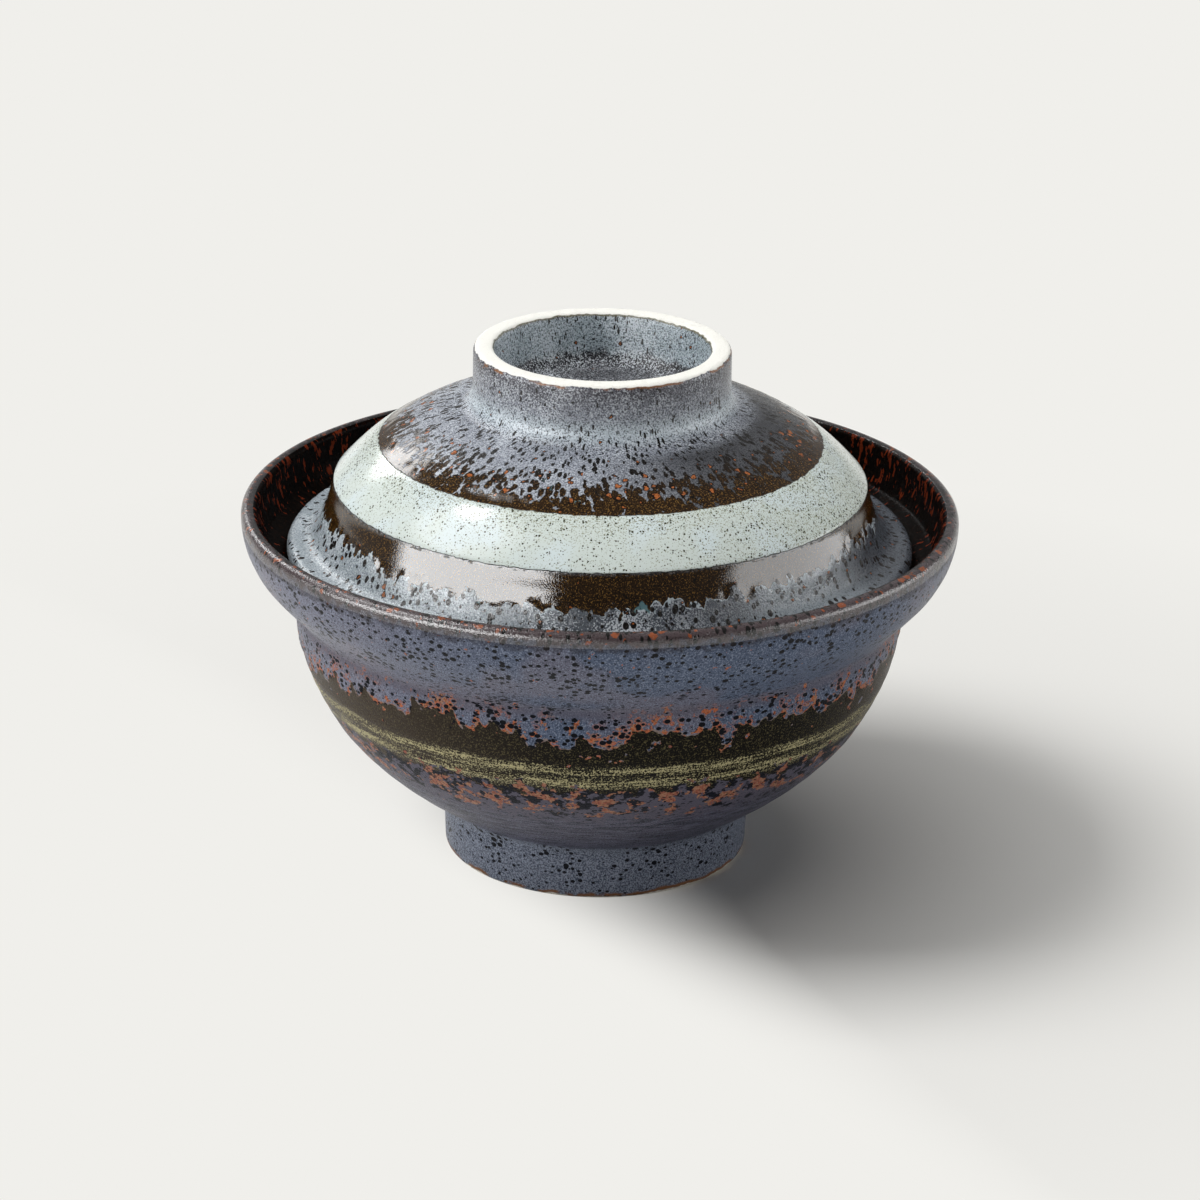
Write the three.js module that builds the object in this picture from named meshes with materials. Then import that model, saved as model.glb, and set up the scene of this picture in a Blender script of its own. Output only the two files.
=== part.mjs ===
// Donburi bowl with a lid, in glazed stoneware, thrown on the wheel.
// The bowl stands on a foot ring and flares out to a collar. The lid rests on a sloping gallery
// inside that collar, and its ring knob carries it when it is turned over and used as a dish.
// Millimetres, +Z up. The origin is the centre of the foot ring's underside.
import * as THREE from "three";

// Flats round each thrown piece, and steps along its curves
const flats = 56;
const longCurveSteps = 12;
const shortCurveSteps = 7;
const cornerSteps = 3;

// Bowl: foot ring, with a hollow under the floor
const footRadius = 34.6;
const footHeight = 12.3;
const footWidth = 4.4;
const footLean = 2; // degrees from upright, wider at the top
const footEdgeRound = 1.1;
const footNeckRound = 5;
const footHollow = 8.2;
const footHollowRound = 3;

// Bowl: belly, from the foot up to the crease
const bellyRise = 32; // degrees above level, where it leaves the foot
const bellyRiseReach = 22;
const bellyTopReach = 20;
const bellyWall = 4.2;
const floorThickness = 6.2;
const floorReach = 48; // how far the inside stays nearly level
const insideTopReach = 29;

// Bowl: collar, from the crease up to the lip
const rimRadius = 80.5;
const rimHeight = 82.2;
const lipThickness = 3.6;
const collarBend = 19;
const collarLean = 43; // degrees from upright, below the bend
const collarOverhang = 11.7;
const creaseRound = 2.2;

// Bowl: gallery that the lid rests on
const galleryInset = 5.7;
const gallerySlope = 25; // degrees below level, towards the middle
const galleryCornerRound = 1;
const throatRound = 5;

// Fit of the lid in the gallery
const flangePlay = 4.4; // radial room all round
const seatClearance = 0.3;

// Lid: flange and skirt, heights above the middle of the flange's nose
const flangeNose = 2.2;
const flangeWidth = 10.4;
const seatWidth = 2.6;
const seatEdgeRound = 1.1;
const skirtHeight = 16;
const skirtLean = 14; // degrees from upright, below the ridge
const skirtFlareReach = 4.5;
const skirtDropReach = 12;
const lidWall = 4;
const ridgeRound = 1.2;

// Lid: dome
const domeRise = 17.4;
const domeBend = 56;
const underDomeReach = 30;
const underShoulderReach = 11;
const underShoulderLean = 45; // degrees from upright
const underShoulderRound = 5;

// Lid: ring knob with a hollow in it
const knobRadius = 28.8;
const knobHeight = 13.3;
const knobWidth = 4.5;
const knobLean = 0.6; // degrees from upright, wider at the foot
const knobEdgeRound = 1.3;
const knobNeckRound = 4;
const knobHollow = 11.5;
const knobHollowLean = 9; // degrees from upright, narrower at the floor
const knobHollowRound = 4;

const point = (radius, height) => new THREE.Vector2(radius, height);

// Unit step at an angle above level, in degrees
function heading(angle) {
  const turn = THREE.MathUtils.degToRad(angle);
  return point(Math.cos(turn), Math.sin(turn));
}

// Point reached from a start by going a distance at an angle
function reach(start, distance, angle) {
  return heading(angle).multiplyScalar(distance).add(start);
}

// Sideways shift of a wall that leans by an angle over a height
function leanShift(height, angle) {
  return height * Math.tan(THREE.MathUtils.degToRad(angle));
}

function curve(start, leave, arrive, end, steps) {
  return new THREE.CubicBezierCurve(start, leave, arrive, end).getPoints(steps);
}

function arc(centre, radius, fromAngle, toAngle, steps) {
  const points = [];
  for (let step = 0; step <= steps; step += 1) {
    points.push(reach(centre, radius, THREE.MathUtils.lerp(fromAngle, toAngle, step / steps)));
  }
  return points;
}

// Arc of a given radius between two points, bulging to the right of the way from start to end
function bow(start, end, radius, steps) {
  const chord = end.clone().sub(start);
  const half = chord.length() / 2;
  const inward = point(-chord.y, chord.x).normalize();
  const depth = Math.sqrt(radius * radius - half * half);
  const centre = start.clone().lerp(end, 0.5).addScaledVector(inward, depth);
  const from = start.clone().sub(centre).angle();
  const to = end.clone().sub(centre).angle();
  return arc(centre, radius, THREE.MathUtils.radToDeg(from), THREE.MathUtils.radToDeg(to), steps);
}

// Round between two straight runs that meet at a corner
function corner(before, at, after, radius, steps = cornerSteps) {
  const back = before.clone().sub(at).normalize();
  const onward = after.clone().sub(at).normalize();
  const halfAngle = Math.acos(THREE.MathUtils.clamp(back.dot(onward), -1, 1)) / 2;
  const trim = radius / Math.tan(halfAngle);
  const middle = back.clone().add(onward).normalize();
  const centre = at.clone().addScaledVector(middle, radius / Math.sin(halfAngle));
  const from = at.clone().addScaledVector(back, trim).sub(centre).angle();
  const to = at.clone().addScaledVector(onward, trim).sub(centre).angle();
  const turn = Math.atan2(Math.sin(to - from), Math.cos(to - from));
  const start = THREE.MathUtils.radToDeg(from);
  return arc(centre, radius, start, start + THREE.MathUtils.radToDeg(turn), steps);
}

// Solid turned about the upright axis, from an outline that begins and ends on that axis
function thrown(name, outline, glaze) {
  const geometry = new THREE.LatheGeometry(outline, flats);
  geometry.rotateX(Math.PI / 2);
  const piece = new THREE.Mesh(geometry, glaze);
  piece.name = name;
  return piece;
}

const last = (points) => points[points.length - 1];

// Collar: bent about one centre outside and inside, so that the wall is even up to the lip
const lipRound = lipThickness / 2;
const collarCentre = point(rimRadius - collarBend, rimHeight - lipRound);
const insideBend = collarBend - lipThickness;
const collarFoot = reach(collarCentre, collarBend, -collarLean);
const creaseRadius = rimRadius - collarOverhang;
const crease = point(
  creaseRadius,
  collarFoot.y - (collarFoot.x - creaseRadius) / Math.tan(THREE.MathUtils.degToRad(collarLean)),
);

// Gallery: begins where the inside of the collar reaches its radius, and slopes down to the throat
const galleryRadius = rimRadius - galleryInset;
const galleryAngle = -THREE.MathUtils.radToDeg(Math.acos((galleryRadius - collarCentre.x) / insideBend));
const gallery = reach(collarCentre, insideBend, galleryAngle);
const throatRadius = creaseRadius - bellyWall;
const throat = point(throatRadius, gallery.y - leanShift(galleryRadius - throatRadius, gallerySlope));

// Lid: where its flange comes to rest, with its nose just clear of the gallery
const flangeRadius = galleryRadius - flangePlay;
const noseCentreRadius = flangeRadius - flangeNose;
const slope = THREE.MathUtils.degToRad(gallerySlope);
const seatStandoff = (flangeNose + seatClearance) / Math.cos(slope);
const lidRest = gallery.y - leanShift(galleryRadius - noseCentreRadius, gallerySlope) + seatStandoff;

// Foot ring: up and over from the hollow under the floor to the neck below the belly
function footOutline(bellyStart) {
  const hollowTop = point(footRadius - footWidth, footHollow);
  const innerEdge = point(footRadius - footWidth, 0);
  const outerEdge = point(footRadius, 0);
  const neck = point(footRadius + leanShift(footHeight, footLean), footHeight);
  return [
    point(0, footHollow),
    ...corner(point(0, footHollow), hollowTop, innerEdge, footHollowRound),
    ...corner(hollowTop, innerEdge, outerEdge, footEdgeRound),
    ...corner(innerEdge, outerEdge, neck, footEdgeRound),
    ...corner(outerEdge, neck, bellyStart(neck), footNeckRound),
  ];
}

function bowlOutline() {
  const bellyStart = (neck) => reach(neck, bellyRiseReach, bellyRise);
  const foot = footOutline(bellyStart);
  const bellyTop = point(crease.x, crease.y - bellyTopReach);
  const creaseBend = corner(bellyTop, crease, collarFoot, creaseRound);
  const insideLip = point(collarCentre.x + insideBend, collarCentre.y);
  const lipCentre = point(insideLip.x + lipRound, collarCentre.y);
  const insideBow = arc(collarCentre, insideBend, 0, galleryAngle, shortCurveSteps).slice(1, -1);
  const floor = point(0, footHollow + floorThickness);
  const insideTop = point(throat.x, throat.y - insideTopReach);
  const throatBend = corner(gallery, throat, insideTop, throatRound);
  return [
    ...foot,
    ...curve(last(foot), bellyStart(last(foot)), bellyTop, creaseBend[0], longCurveSteps).slice(1),
    ...creaseBend.slice(1),
    ...arc(collarCentre, collarBend, -collarLean, 0, shortCurveSteps),
    ...arc(lipCentre, lipRound, 0, 180, 2 * cornerSteps).slice(1),
    ...insideBow,
    ...corner(last(insideBow), gallery, throat, galleryCornerRound),
    ...throatBend,
    ...curve(last(throatBend), insideTop, point(floorReach, floor.y), floor, longCurveSteps).slice(1),
  ];
}

// Ring knob: from its neck on the dome, over the bare ring, down into the hollow
function knobOutline(domeEnd, neck) {
  const topHeight = neck.y + knobHeight;
  const outerEdge = point(neck.x - leanShift(knobHeight, knobLean), topHeight);
  const innerEdge = point(outerEdge.x - knobWidth, topHeight);
  const hollowFloor = topHeight - knobHollow;
  const hollowFoot = point(innerEdge.x - leanShift(knobHollow, knobHollowLean), hollowFloor);
  const middle = point(0, hollowFloor);
  return [
    ...corner(domeEnd, neck, outerEdge, knobNeckRound),
    ...corner(neck, outerEdge, innerEdge, knobEdgeRound),
    ...corner(outerEdge, innerEdge, hollowFoot, knobEdgeRound),
    ...corner(innerEdge, hollowFoot, middle, knobHollowRound),
    middle,
  ];
}

// Skirt's outer face, from the flange up to the ridge
function skirtFace(flangeTop, ridge) {
  const leave = point(flangeTop.x - skirtFlareReach, flangeTop.y);
  const arrive = reach(ridge, skirtDropReach, skirtLean - 90);
  return curve(flangeTop, leave, arrive, ridge, shortCurveSteps);
}

// Underside, from the middle of the dome out to the seat
function undersideOutline(ridge, underTop, seatInner, seatOuter) {
  const shoulder = point(ridge.x - lidWall, ridge.y - lidWall / 2);
  const domeSide = reach(shoulder, underShoulderReach, 90 + underShoulderLean);
  const skirtSide = reach(shoulder, skirtDropReach, skirtLean - 90);
  const shoulderBend = corner(domeSide, shoulder, skirtSide, underShoulderRound);
  const seatApproach = reach(seatInner, skirtFlareReach, 180 - gallerySlope);
  const seatEdge = corner(seatApproach, seatInner, seatOuter, seatEdgeRound);
  return [
    ...curve(underTop, point(underDomeReach, underTop.y), domeSide, shoulderBend[0], shortCurveSteps),
    ...shoulderBend.slice(1),
    ...curve(last(shoulderBend), skirtSide, seatApproach, seatEdge[0], shortCurveSteps).slice(1),
    ...seatEdge.slice(1),
  ];
}

function lidOutline() {
  const noseCentre = point(noseCentreRadius, 0);
  const seatOuter = reach(noseCentre, flangeNose, gallerySlope - 90);
  const seatInner = reach(seatOuter, -seatWidth, gallerySlope);
  const ridge = point(flangeRadius - flangeWidth, skirtHeight);
  const neck = point(knobRadius, ridge.y + domeRise);
  const underTop = point(0, neck.y + knobHeight - knobHollow - lidWall);
  const skirt = skirtFace(point(noseCentre.x, flangeNose), ridge).slice(1, -1);
  const dome = bow(ridge, neck, domeBend, shortCurveSteps).slice(1, -1);
  return [
    ...undersideOutline(ridge, underTop, seatInner, seatOuter),
    ...arc(noseCentre, flangeNose, gallerySlope - 90, 90, 2 * cornerSteps),
    ...skirt,
    ...corner(last(skirt), ridge, dome[0], ridgeRound),
    ...dome,
    ...knobOutline(last(dome), neck),
  ];
}

const bowlGlaze = new THREE.MeshStandardMaterial({ color: 0x5d5f6e, roughness: 0.42, metalness: 0 });
const lidGlaze = new THREE.MeshStandardMaterial({ color: 0x8d979e, roughness: 0.34, metalness: 0 });

const bowl = thrown("bowl", bowlOutline(), bowlGlaze);
const lid = thrown("lid", lidOutline(), lidGlaze);
lid.position.z = lidRest;

const donburi = new THREE.Group();
donburi.add(bowl, lid);

export default donburi;
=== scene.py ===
import math
from types import SimpleNamespace

import bpy
import numpy as np
from mathutils import Matrix, Vector


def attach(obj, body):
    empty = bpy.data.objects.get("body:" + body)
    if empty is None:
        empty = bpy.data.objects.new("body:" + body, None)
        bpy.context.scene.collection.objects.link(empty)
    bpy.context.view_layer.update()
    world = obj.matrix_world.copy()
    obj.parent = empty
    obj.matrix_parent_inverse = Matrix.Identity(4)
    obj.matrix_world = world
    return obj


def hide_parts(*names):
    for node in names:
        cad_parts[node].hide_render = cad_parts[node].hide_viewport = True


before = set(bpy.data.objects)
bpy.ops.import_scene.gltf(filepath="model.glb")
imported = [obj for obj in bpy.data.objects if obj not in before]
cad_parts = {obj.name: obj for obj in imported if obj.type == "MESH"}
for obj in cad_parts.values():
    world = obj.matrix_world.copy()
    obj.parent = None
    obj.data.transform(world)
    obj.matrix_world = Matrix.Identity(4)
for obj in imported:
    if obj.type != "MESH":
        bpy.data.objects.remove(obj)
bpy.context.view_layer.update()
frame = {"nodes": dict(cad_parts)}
print("frame loaded:", ", ".join(frame["nodes"]))

# Shapes and patterns are worked out in millimetres; meshes are stored in metres.
metre = 1000.0


# Profile runs, as rows of (radius, height)

# unit step at an angle above level, in degrees
def heading(angle):
    turn = np.radians(angle)
    return np.stack([np.cos(turn), np.sin(turn)], axis=-1)


# start plus a distance along a heading
def reach(start, distance, angle):
    return np.asarray(start) + distance * heading(angle)


# sideways shift of a wall that leans by an angle over a height: height times the angle's tangent
def leanShift(height, angle):
    return height * math.tan(math.radians(angle))


# straight run: start plus a share of the way to the end
def straightRun(start, end, count=30):
    share = np.linspace(0, 1, count)[:, None]
    return np.asarray(start) * (1 - share) + np.asarray(end) * share


# centre plus radius times the headings between two angles
def arcRun(centre, radius, fromAngle, toAngle, count=60):
    return np.asarray(centre) + radius * heading(np.linspace(fromAngle, toAngle, count))


# cubic Bezier: the four points weighted by the Bernstein polynomials of the share
def bezierRun(start, leave, arrive, end, count=160):
    share = np.linspace(0, 1, count)[:, None]
    rest = 1 - share
    ends = rest**3 * np.asarray(start) + share**3 * np.asarray(end)
    return ends + 3 * share * rest**2 * np.asarray(leave) + 3 * share**2 * rest * np.asarray(arrive)


# arc of a given radius between two points, bulging to the right of the way from start to end
def bowRun(start, end, radius, count=160):
    chord = np.asarray(end) - np.asarray(start)
    half = np.linalg.norm(chord) / 2
    inward = np.array([-chord[1], chord[0]]) / (2 * half)
    centre = (np.asarray(start) + end) / 2 + inward * math.sqrt(radius**2 - half**2)
    fromAngle, toAngle = (math.degrees(math.atan2(*(p - centre)[::-1])) for p in (start, end))
    return arcRun(centre, radius, fromAngle, toAngle, count)


# fillet: arc that touches both straight runs that meet at a corner
def cornerRun(before, at, after, radius, count=30):
    at = np.asarray(at)
    back = (before - at) / np.linalg.norm(before - at)
    onward = (after - at) / np.linalg.norm(after - at)
    halfAngle = math.acos(np.clip(back @ onward, -1, 1)) / 2
    middle = (back + onward) / np.linalg.norm(back + onward)
    centre = at + middle * radius / math.sin(halfAngle)
    trim = radius / math.tan(halfAngle)
    first, final = (math.atan2(*(at + way * trim - centre)[::-1]) for way in (back, onward))
    turn = math.atan2(math.sin(final - first), math.cos(final - first))
    return arcRun(centre, radius, math.degrees(first), math.degrees(first + turn), count)


# all runs in one line, with its running length and the length at which each named run begins
def joinRuns(runs):
    leastStep = 1e-6
    line = np.concatenate(list(runs.values()))
    steps = np.linalg.norm(np.diff(line, axis=0), axis=1)
    keep = np.concatenate([[True], steps > leastStep])
    length = np.concatenate([[0], np.cumsum(steps)])
    firsts = np.cumsum([0] + [len(run) for run in runs.values()])[:-1]
    marks = {name: length[first] for name, first in zip(runs, firsts)}
    return line[keep], length[keep], marks


# 0 to 1 as a value goes from low to high, with level ends
def ease(value, low, high):
    share = np.clip((value - low) / (high - low), 0, 1)
    return share * share * (3 - 2 * share)


# 1 between two values, easing in and out over a soft width
def window(value, low, high, soft):
    return ease(value, low - soft, low + soft) * (1 - ease(value, high - soft, high + soft))


# sum of waves, each with a whole number of turns round the pot and its own pitch along it
def waveField(angle, along, seed, turns, pitch, count=24):
    draw = np.random.default_rng(seed)
    rounds = draw.integers(-turns, turns + 1, count)
    pitches = draw.normal(0, 2 * math.pi / pitch, count)
    phases = draw.uniform(0, 2 * math.pi, count)
    waves = np.cos(angle[..., None] * rounds + along[..., None] * pitches + phases)
    return waves.sum(axis=-1) / math.sqrt(count / 2)


# scalloped edge: lobes side by side round the pot, each half an ellipse of its own width and depth
def lobeEdge(angle, seed, count, shallow, deep):
    narrow, wide = 0.45, 1.6
    draw = np.random.default_rng(seed)
    ends = np.cumsum(draw.uniform(narrow, wide, count))
    ends *= 2 * math.pi / ends[-1]
    widths = np.diff(ends, prepend=0)
    depths = draw.uniform(shallow, deep, count)
    lobe = np.minimum(np.searchsorted(ends, angle), count - 1)
    across = (angle - ends[lobe]) / widths[lobe] * 2 + 1
    return depths[lobe] * np.sqrt(np.clip(1 - across**2, 0, 1))


# rows set along a profile in proportion to a weight: the inverse of the weight's running total
def spreadRows(line, length, weight, count):
    total = np.concatenate([[0], np.cumsum((weight[1:] + weight[:-1]) / 2 * np.diff(length))])
    spots = np.interp(np.linspace(0, total[-1], count), total, length)
    rows = np.stack([np.interp(spots, length, line[:, axis]) for axis in (0, 1)], axis=-1)
    tangent = np.gradient(line, length, axis=0)
    normal = np.stack([tangent[:, 1], -tangent[:, 0]], axis=-1)
    normals = np.stack([np.interp(spots, length, normal[:, axis]) for axis in (0, 1)], axis=-1)
    return rows, spots, normals / np.linalg.norm(normals, axis=1, keepdims=True)


# weight that crowds rows where the profile bends: a base plus the bend in radians per millimetre
def bendWeight(line, length, base, crowd):
    steps, sharpest = 9, 1.2
    tangent = np.gradient(line, length, axis=0)
    slope = np.unwrap(np.arctan2(tangent[:, 1], tangent[:, 0]))
    bend = np.abs(np.gradient(slope, length))
    spread = np.ones(steps) / steps
    return base + crowd * np.convolve(np.minimum(bend, sharpest), spread, mode="same")


# rows of a profile turned round the axis, denser where they show and where the profile bends:
# along is the length from the start of a named run, wheel the place on a plain cylinder that patterns
# are laid out on, and drip the length above the glaze's edge, a wave plus lobes up or down
def turnProfile(shape, look, profile, start, lobeWay):
    s, k = SimpleNamespace(**shape), SimpleNamespace(**look)
    line, length, marks = profile
    shown = window(length - marks[start], s.denseFrom, s.denseTo, s.denseSoft)
    base = s.plainRows + s.denseRows * shown
    weight = bendWeight(line, length, base, s.bendRows)
    rows, spots, normals = spreadRows(line, length, weight, s.rows)
    turn = np.linspace(0, 2 * math.pi, s.columns, endpoint=False)
    angle, along = np.meshgrid(turn, spots - marks[start])
    wave = waveField(turn, 0 * turn, k.dripSeed, k.dripTurns, 1)
    middle = k.dripMiddle + k.dripSway * wave
    lobes = lobeEdge(turn, k.dripSeed, k.dripLobes, k.dripShallow, k.dripDeep)
    radius = k.wheelRadius
    wheel = np.stack([radius * np.cos(angle), radius * np.sin(angle), along], axis=-1)
    return rows, normals, angle, along, {"wheel": wheel, "drip": along - (middle + lobeWay * lobes)}


# closed pot: rows turned about the axis, moved along the profile's normal by a relief,
# with one point at each pole and every row joined to the next round the pot
def throwPot(name, rows, normals, relief, angle, attributes, materials, coats):
    shift = relief[..., None] * normals[:, None, :]
    radius = rows[:, None, 0] + shift[..., 0]
    height = rows[:, None, 1] + shift[..., 1]
    grid = np.stack([radius * np.cos(angle), radius * np.sin(angle), height + 0 * angle], axis=-1)
    count, columns = radius.shape
    index = np.zeros((count, columns + 1), dtype=int)
    index[1:-1, :-1] = 1 + np.arange((count - 2) * columns).reshape(count - 2, columns)
    index[-1] = 1 + (count - 2) * columns
    index[:, -1] = index[:, 0]

    def perPoint(values):
        return np.concatenate([values[:1, 0], values[1:-1].reshape(-1, *values.shape[2:]), values[-1:, 0]])

    # cells of a grid by their corners: the fans at both poles, then the walls between them
    def cells(values):
        corners = np.stack([values[:-1, :-1], values[:-1, 1:], values[1:, 1:], values[1:, :-1]], axis=2)
        return corners[0][:, [0, 2, 3]], corners[-1][:, [0, 1, 2]], corners[1:-1]

    firstFan, lastFan, walls = cells(index)
    faces = firstFan.tolist() + lastFan.tolist() + walls.reshape(-1, 4).tolist()
    mesh = bpy.data.meshes.new(name)
    mesh.from_pydata(perPoint(grid / metre), [], faces)
    shares = np.arange(columns + 1) / columns, np.arange(count)[:, None] / (count - 1)
    flat = np.stack(np.broadcast_arrays(*shares), axis=-1)
    loops = np.concatenate([part.reshape(-1, 2) for part in cells(flat)])
    mesh.uv_layers.new(name="turned").data.foreach_set("uv", loops.ravel())

    for key, values in attributes.items():
        kind, slot = ("FLOAT_VECTOR", "vector") if values.ndim == 3 else ("FLOAT", "value")
        mesh.attributes.new(key, kind, "POINT").data.foreach_set(slot, perPoint(values).ravel())
    for material in materials:
        mesh.materials.append(material)
    fanCoats = np.repeat(coats[[0, -2]], columns)
    choice = np.concatenate([fanCoats, np.repeat(coats[1:-2], columns)])
    mesh.polygons.foreach_set("material_index", choice)
    mesh.shade_smooth()
    mesh.validate()
    pot = bpy.data.objects.new(name, mesh)
    bpy.context.collection.objects.link(pot)
    print(name, "thrown:", len(faces) + walls.size // 4, "triangles")
    return pot


# Glaze recipes: short hand for the nodes of one material

# standard deviation of one octave of Blender's noise texture
octaveSpread = 0.125


# sRGB channels from 0 to 255 as a linear colour
def paint(red, green, blue):
    share = np.array([red, green, blue]) / 255
    linear = np.where(share <= 0.04045, share / 12.92, ((share + 0.055) / 1.055) ** 2.4)
    return (*linear.tolist(), 1.0)


class Recipe:
    def __init__(self, name, look, gloss):
        self.look = look
        self.material = bpy.data.materials.new(name)
        self.material.use_nodes = True
        self.tree = self.material.node_tree
        self.shader = self.tree.nodes["Principled BSDF"]
        self.shader.inputs["Specular IOR Level"].default_value = gloss

    # link or plain value; a colour is given by its name in the look
    def put(self, socket, value):
        if isinstance(value, bpy.types.NodeSocket):
            self.tree.links.new(value, socket)
        else:
            socket.default_value = paint(*self.look[value]) if isinstance(value, str) else value

    def node(self, kind, inputs=None, **settings):
        made = self.tree.nodes.new("ShaderNode" + kind)
        for key, value in settings.items():
            setattr(made, key, value)
        for key, value in (inputs or {}).items():
            self.put(made.inputs[key], value)
        return made

    # place on the piece in millimetres
    def place(self):
        coords = self.node("TexCoord").outputs["Object"]
        return self.stretch(coords, (metre, metre, metre))

    def attribute(self, name):
        return self.node("Attribute", attribute_name=name).outputs

    # place on the piece, place on the wheel with its side and length along, and the drip
    def bearings(self):
        wheel = self.attribute("wheel")["Vector"]
        parts = self.node("SeparateXYZ", {"Vector": wheel}).outputs
        return self.place(), wheel, parts["X"], parts["Z"], self.attribute("drip")["Fac"]

    def stretch(self, vector, factors):
        return self.node("VectorMath", {0: vector, 1: factors}, operation="MULTIPLY").outputs[0]

    def calc(self, operation, *values):
        made = self.node("Math", operation=operation)
        for socket, value in zip(made.inputs, values):
            self.put(socket, value)
        return made.outputs[0]

    # base plus a value times a factor
    def lift(self, value, factor, base):
        return self.calc("MULTIPLY_ADD", value, factor, base)

    def larger(self, first, second):
        return self.calc("MAXIMUM", first, second)

    # product of several shares
    def times(self, first, *others):
        for other in others:
            first = self.calc("MULTIPLY", first, other)
        return first

    # sum of several values
    def total(self, first, *others):
        for other in others:
            first = self.calc("ADD", first, other)
        return first

    # 0 to 1 as a value goes from low to high; high below low turns it round
    def rise(self, value, low, high):
        inputs = {"Value": value, "From Min": low, "From Max": high}
        return self.node("MapRange", inputs, interpolation_type="SMOOTHSTEP").outputs["Result"]

    # 1 between low and high, with soft edges
    def between(self, value, low, high, soft):
        above = self.rise(value, low - soft, low + soft)
        return self.times(above, self.rise(value, high + soft, high - soft))

    # noise with features of about one size in millimetres, in standard deviations from its mean:
    # the texture less its middle, over the spread that its octaves leave
    def noise(self, vector, size, detail=2, roughness=0.5):
        inputs = {"Vector": vector, "Scale": 1 / size, "Detail": detail, "Roughness": roughness}
        octaves = roughness ** np.arange(detail + 1)
        spread = float(octaveSpread * np.linalg.norm(octaves) / octaves.sum())
        texture = self.node("TexNoise", inputs).outputs["Fac"]
        return self.lift(texture, 1 / spread, -0.5 / spread)

    # noise times an amount
    def sway(self, vector, size, amount, detail=2):
        return self.times(self.noise(vector, size, detail), amount)

    # round spots, each with its own radius between two: the distance inside the spot's edge
    def spots(self, vector, spacing, smallest, largest):
        cells = self.node("TexVoronoi", {"Vector": vector, "Scale": 1 / spacing})
        lot = self.node("SeparateColor", {"Color": cells.outputs["Color"]}).outputs["Red"]
        radius = self.lift(lot, largest - smallest, smallest)
        return self.lift(cells.outputs["Distance"], -spacing, radius)

    # one input over another by a share, as colours or as plain values
    def blend(self, share, under, over, kind="RGBA", slots=(0, 6, 7, 2)):
        made = self.node("Mix", data_type=kind)
        for slot, value in zip(slots, (share, under, over)):
            self.put(made.inputs[slot], value)
        return made.outputs[slots[-1]]

    def mix(self, share, under, over):
        return self.blend(share, under, over, "FLOAT", (0, 2, 3, 0))

    # height of the surface in millimetres becomes a bump, and the shader is joined up
    def finish(self, colour, roughness, height):
        bump = self.node("Bump", {"Height": height, "Distance": 1 / metre, "Strength": 1.0})
        self.put(self.shader.inputs["Base Color"], colour)
        self.put(self.shader.inputs["Roughness"], roughness)
        self.put(self.shader.inputs["Normal"], bump.outputs["Normal"])
        return self.material


# Bowl: foot ring, belly, crease, flared collar, lip and the gallery that the lid rests on
bowlShape = {
    "footRadius": 34.6, "footHeight": 12.3, "footWidth": 4.4, "footLean": 2.0, "footEdgeRound": 1.1,
    "footNeckRound": 5.0, "footHollow": 8.2, "footHollowRound": 3.0,
    "bellyRise": 32.0, "bellyRiseReach": 22.0, "bellyTopReach": 20.0, "bellyWall": 4.2,
    "floorThickness": 6.2, "floorReach": 48.0, "insideTopReach": 29.0,
    "rimRadius": 80.5, "rimHeight": 82.2, "lipThickness": 3.6, "collarBend": 19.0, "collarLean": 43.0,
    "collarOverhang": 11.7, "creaseRound": 2.2,
    "galleryInset": 5.7, "gallerySlope": 25.0, "galleryCornerRound": 1.0, "throatRound": 5.0,
    "rows": 214, "columns": 448, "denseFrom": -78.0, "denseTo": 40.5, "denseSoft": 4.0,
    "plainRows": 0.28, "denseRows": 1.0, "bendRows": 1.6,
}

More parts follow.
